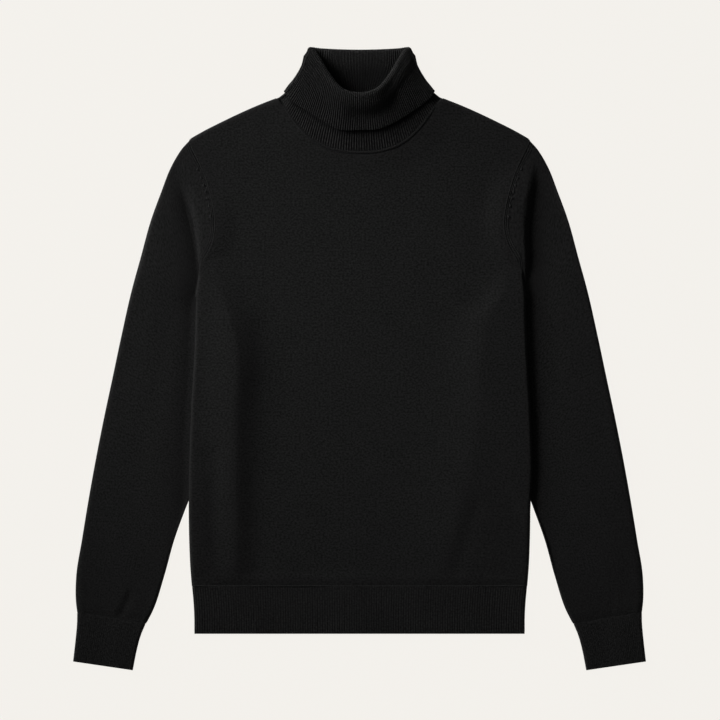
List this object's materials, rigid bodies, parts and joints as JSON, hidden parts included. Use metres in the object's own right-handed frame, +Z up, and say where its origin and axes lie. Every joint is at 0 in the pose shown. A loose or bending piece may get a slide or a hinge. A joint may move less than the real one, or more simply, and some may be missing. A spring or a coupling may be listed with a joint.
{
  "type": "turtleneck sweater, laid flat",
  "caption": "Fine-knit turtleneck sweater laid flat on its back, with a turned-over ribbed collar, set-in sleeves, ribbed cuffs and a ribbed hem.",
  "frame": {"origin": "middle of the laid garment's outline, on the surface that it lies on", "axes": "+Z up, out of the front of the garment; +Y from the hem to the neck; +X towards the wearer's left sleeve"},
  "size_m": [0.7322, 0.7953, 0.0356],
  "materials": {
    "stockinette": "matt",
    "rib_knit": "matt"
  },
  "bodies": {
    "root": {"front_panel": "stockinette", "back_panel": "stockinette", "left_sleeve": "stockinette", "right_sleeve": "stockinette", "left_cuff": "rib_knit", "right_cuff": "rib_knit", "front_hem_rib": "rib_knit", "back_hem_rib": "rib_knit", "collar": "rib_knit"}
  },
  "joints": []
}
